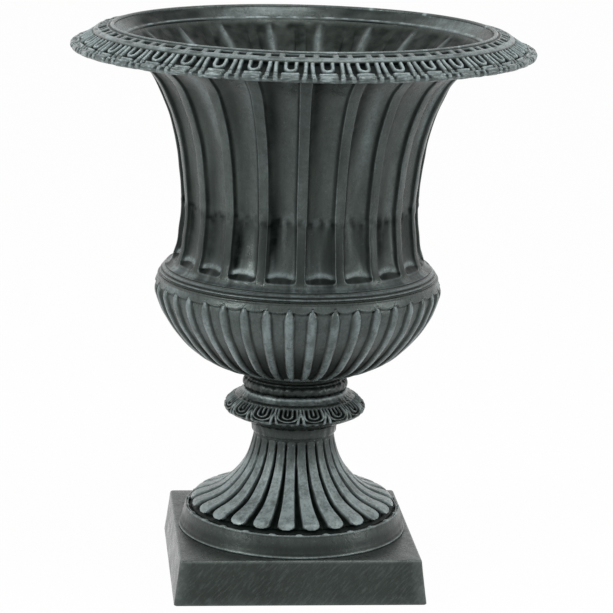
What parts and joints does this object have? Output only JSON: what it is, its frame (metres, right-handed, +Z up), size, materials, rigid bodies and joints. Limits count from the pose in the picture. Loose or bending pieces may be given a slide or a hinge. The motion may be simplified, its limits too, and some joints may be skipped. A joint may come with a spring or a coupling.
{
  "type": "urn planter",
  "caption": "Bell-shaped cast-iron garden urn on a square plinth, with a fluted body, ribbed bowl, carved collar and a wide egg-and-dart rim, open at the top for planting.",
  "frame": {"origin": "centre of the square that the plinth stands on", "axes": "+Z up along the urn's axis; +X and +Y square to the plinth's sides, -Y the side towards the viewer"},
  "size_m": [0.4953, 0.4954, 0.6],
  "materials": {
    "plinth_iron": "dark grey-green stove paint, lightly rubbed on the edges",
    "stem_iron": "dark grey-green stove paint, raised forms rubbed to blue-grey",
    "body_iron": "dark grey-green stove paint with a soft sheen, raised forms rubbed to blue-grey",
    "rim_iron": "dark grey-green stove paint, carving rubbed to blue-grey with dark recesses",
    "zinc_steel": "dull zinc plate"
  },
  "bodies": {
    "root": {"plinth": "plinth_iron", "foot": "stem_iron", "collar": "stem_iron", "neck_ring": "stem_iron", "bowl": "body_iron", "bell": "body_iron", "rim": "rim_iron", "centre_rod": "zinc_steel", "rod_top_washer": "zinc_steel", "rod_top_nut": "zinc_steel", "rod_bottom_washer": "zinc_steel", "rod_bottom_nut": "zinc_steel", "plinth_bolts": "zinc_steel", "plinth_washers": "zinc_steel", "plinth_nuts": "zinc_steel", "flange_bolts": "zinc_steel", "flange_washers": "zinc_steel", "flange_nuts": "zinc_steel", "rim_screws": "zinc_steel", "rim_washers": "zinc_steel"}
  },
  "joints": []
}
